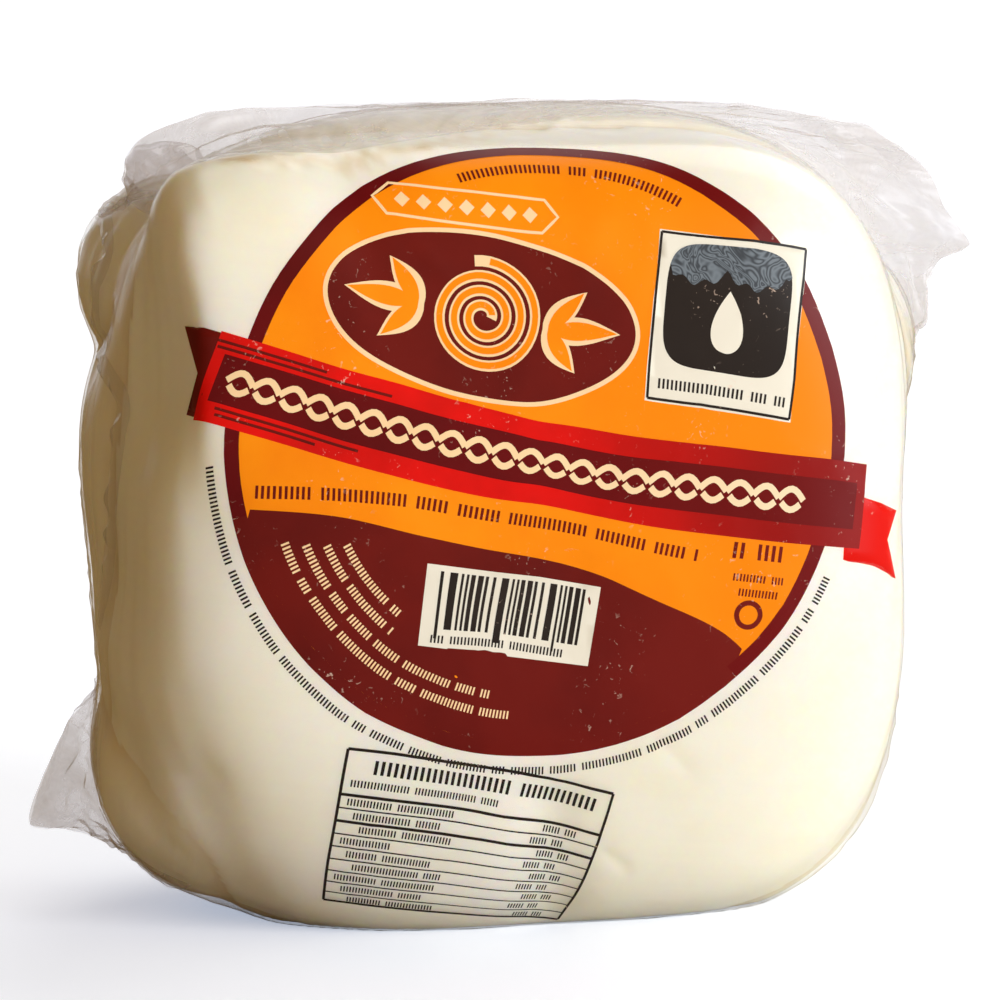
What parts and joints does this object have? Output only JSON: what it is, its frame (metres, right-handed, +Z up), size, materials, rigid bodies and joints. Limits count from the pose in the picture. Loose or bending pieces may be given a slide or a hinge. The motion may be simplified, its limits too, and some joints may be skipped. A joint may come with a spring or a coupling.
{
  "type": "oaxaca cheese ball",
  "caption": "Pressed ball of pulled white cheese, wound from a wide ribbon, in a clear shrink bag with a round printed label and loose film ears.",
  "frame": {"origin": "middle of the overall bounding box seen from above, on the surface it stands on", "axes": "+Z up, +X to the right of the printed face seen from its front, -Y out of the printed face"},
  "size_m": [0.1513, 0.0769, 0.1284],
  "materials": {
    "cheese_in_film": "clear shrink film over a moist cream-white cheese"
  },
  "bodies": {
    "root": {"sealed_bag": "cheese_in_film"}
  },
  "joints": []
}
